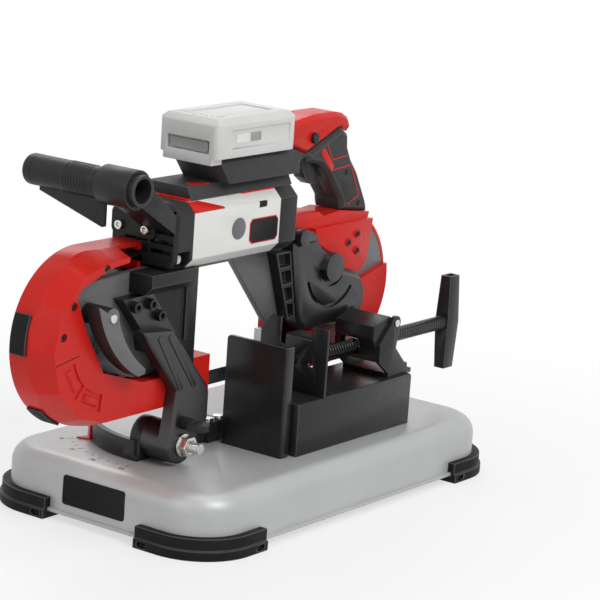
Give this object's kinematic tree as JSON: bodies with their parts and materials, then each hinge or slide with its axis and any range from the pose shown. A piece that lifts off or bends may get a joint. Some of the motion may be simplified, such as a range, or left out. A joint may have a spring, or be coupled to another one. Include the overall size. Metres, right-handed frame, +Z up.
{
  "type": "portable band saw on a mitre stand",
  "caption": "Cordless portable band saw on a tilting arm of a bench stand, with a mitre swivel, a screw vise and a sheet metal base.",
  "frame": {"origin": "on the floor under the middle of the whole machine's box", "axes": "+X along the blade towards the vise handle, +Y away from the operator, +Z up"},
  "size_m": [0.585, 0.278, 0.3731],
  "materials": {
    "pan_grey": "satin powder coat",
    "foot_rubber": "moulded black rubber",
    "black_steel": "black powder coat",
    "zinc": "bright zinc plating",
    "black_screws": "blackened steel",
    "dark_casting": "dark painted casting",
    "red_plastic": "red moulded plastic",
    "black_plastic": "black grained plastic",
    "grip_grey": "dark grey soft grip",
    "housing_silver": "pale silver plastic",
    "pale_plastic": "pale grey plastic",
    "lens": "clear lens",
    "motor_steel": "motor can",
    "board_green": "circuit board",
    "wheel_alloy": "turned alloy",
    "wheel_tyre": "smooth rubber band",
    "blade_steel": "grey tool steel"
  },
  "bodies": {
    "stand": {"base_pan": "pan_grey", "corner_feet": "foot_rubber", "vise_bed": "black_steel", "fixed_jaw": "black_steel", "nut_bracket": "black_steel", "nut_pin": "zinc"},
    "mitre_table": {"swivel_bracket": "black_steel", "scale_pointer": "red_plastic", "swivel_bolt": "zinc", "hub_bolts": "zinc", "tilt_bolt": "zinc", "tilt_nut": "zinc"},
    "saw_head": {"gooseneck_arm": "dark_casting", "arm_bolts": "black_screws", "saw_frame": "dark_casting", "front_cover": "red_plastic", "cover_bumpers": "foot_rubber", "rear_guard": "red_plastic", "front_guide": "blade_steel", "rear_guide": "blade_steel", "front_column": "black_plastic", "work_light": "lens", "motor_housing": "housing_silver", "housing_cap": "grip_grey", "front_cap": "black_plastic", "rear_cap": "black_plastic", "motor": "motor_steel", "top_cover": "grip_grey", "control_board": "board_green", "battery_dock": "grip_grey", "front_tube": "black_plastic", "handle_bracket": "black_plastic", "handle_base": "red_plastic", "handle_front_half": "grip_grey", "handle_back_half": "grip_grey", "handle_cap": "red_plastic", "switch": "black_plastic", "gear_casing": "dark_casting", "rear_column": "black_plastic", "lever_pin": "zinc", "saw_band": "blade_steel"},
    "wing_knob": {"wing_knob": "black_plastic"},
    "tension_lever": {"tension_lever": "dark_casting"},
    "idler_carriage": {"idler_carriage": "zinc", "idler_axle": "zinc"},
    "idler_wheel": {"idler_wheel": "wheel_alloy", "idler_tyre": "wheel_tyre"},
    "drive_wheel": {"drive_wheel": "wheel_alloy", "drive_tyre": "wheel_tyre", "drive_shaft": "zinc"},
    "trigger": {"trigger": "black_plastic"},
    "lock_off_button": {"lock_off_button": "black_plastic"},
    "battery": {"battery": "pale_plastic"},
    "vise_jaw": {"sliding_jaw": "black_steel"},
    "vise_screw": {"vise_screw": "black_steel", "tee_handle": "black_steel"},
    "half_nut": {"half_nut": "black_steel", "nut_insert": "zinc"}
  },
  "joints": [
    {"name": "mitre_swivel", "type": "hinge", "parent": "stand", "child": "mitre_table", "pos_m": [-0.0315, 0.002, 0.0565], "axis": [0, 0, 1], "range_deg": [0, 45]},
    {"name": "head_tilt", "type": "hinge", "parent": "mitre_table", "child": "saw_head", "pos_m": [-0.1195, -0.025, 0.0765], "axis": [0, -1, 0], "range_deg": [-5, 30]},
    {"name": "knob_turn", "type": "hinge", "parent": "saw_head", "child": "wing_knob", "pos_m": [-0.1195, -0.05, 0.097], "axis": [0, 1, 0], "range_deg": [-90, 90]},
    {"name": "tension_lever_turn", "type": "hinge", "parent": "saw_head", "child": "tension_lever", "pos_m": [-0.2285, -0.034, 0.21], "axis": [0, 1, 0], "range_deg": [0, 90]},
    {"name": "carriage_slide", "type": "slide", "parent": "saw_head", "child": "idler_carriage", "axis": [1, 0, 0], "range_m": [0, 0.00701]},
    {"name": "idler_spin", "type": "hinge", "parent": "idler_carriage", "child": "idler_wheel", "pos_m": [-0.2105, 0.002, 0.183], "axis": [0, 1, 0], "continuous": true},
    {"name": "drive_spin", "type": "hinge", "parent": "saw_head", "child": "drive_wheel", "pos_m": [0.15108, 0.002, 0.183], "axis": [0, 1, 0], "continuous": true},
    {"name": "trigger_pull", "type": "slide", "parent": "saw_head", "child": "trigger", "axis": [1, 0, 0], "range_m": [0, 0.005], "stiffness_N_per_m": 800, "springref_m": -0.001},
    {"name": "lock_off_press", "type": "slide", "parent": "saw_head", "child": "lock_off_button", "axis": [0, 1, 0], "range_m": [0, 0.003], "stiffness_N_per_m": 500, "springref_m": -0.001},
    {"name": "battery_slide", "type": "slide", "parent": "saw_head", "child": "battery", "axis": [-1, 0, 0], "range_m": [0, 0.085]},
    {"name": "vise_slide", "type": "slide", "parent": "stand", "child": "vise_jaw", "axis": [1, 0, 0], "range_m": [-0.0439, 0.02001]},
    {"name": "vise_screw_turn", "type": "hinge", "parent": "vise_jaw", "child": "vise_screw", "pos_m": [0.1385, -0.055, 0.135], "axis": [1, 0, 0], "range_deg": [-3950, 1800]},
    {"name": "half_nut_lift", "type": "hinge", "parent": "stand", "child": "half_nut", "pos_m": [0.1415, -0.061, 0.16], "axis": [0, 1, 0], "range_deg": [0, 60]}
  ],
  "couplings": [
    {"joint": "carriage_slide", "follows": "tension_lever_turn", "m_per_rad": 0.0044563},
    {"joint": "idler_spin", "follows": "drive_spin", "ratio": 1},
    {"joint": "vise_slide", "follows": "vise_screw_turn", "m_per_rad": 0.00063662}
  ]
}
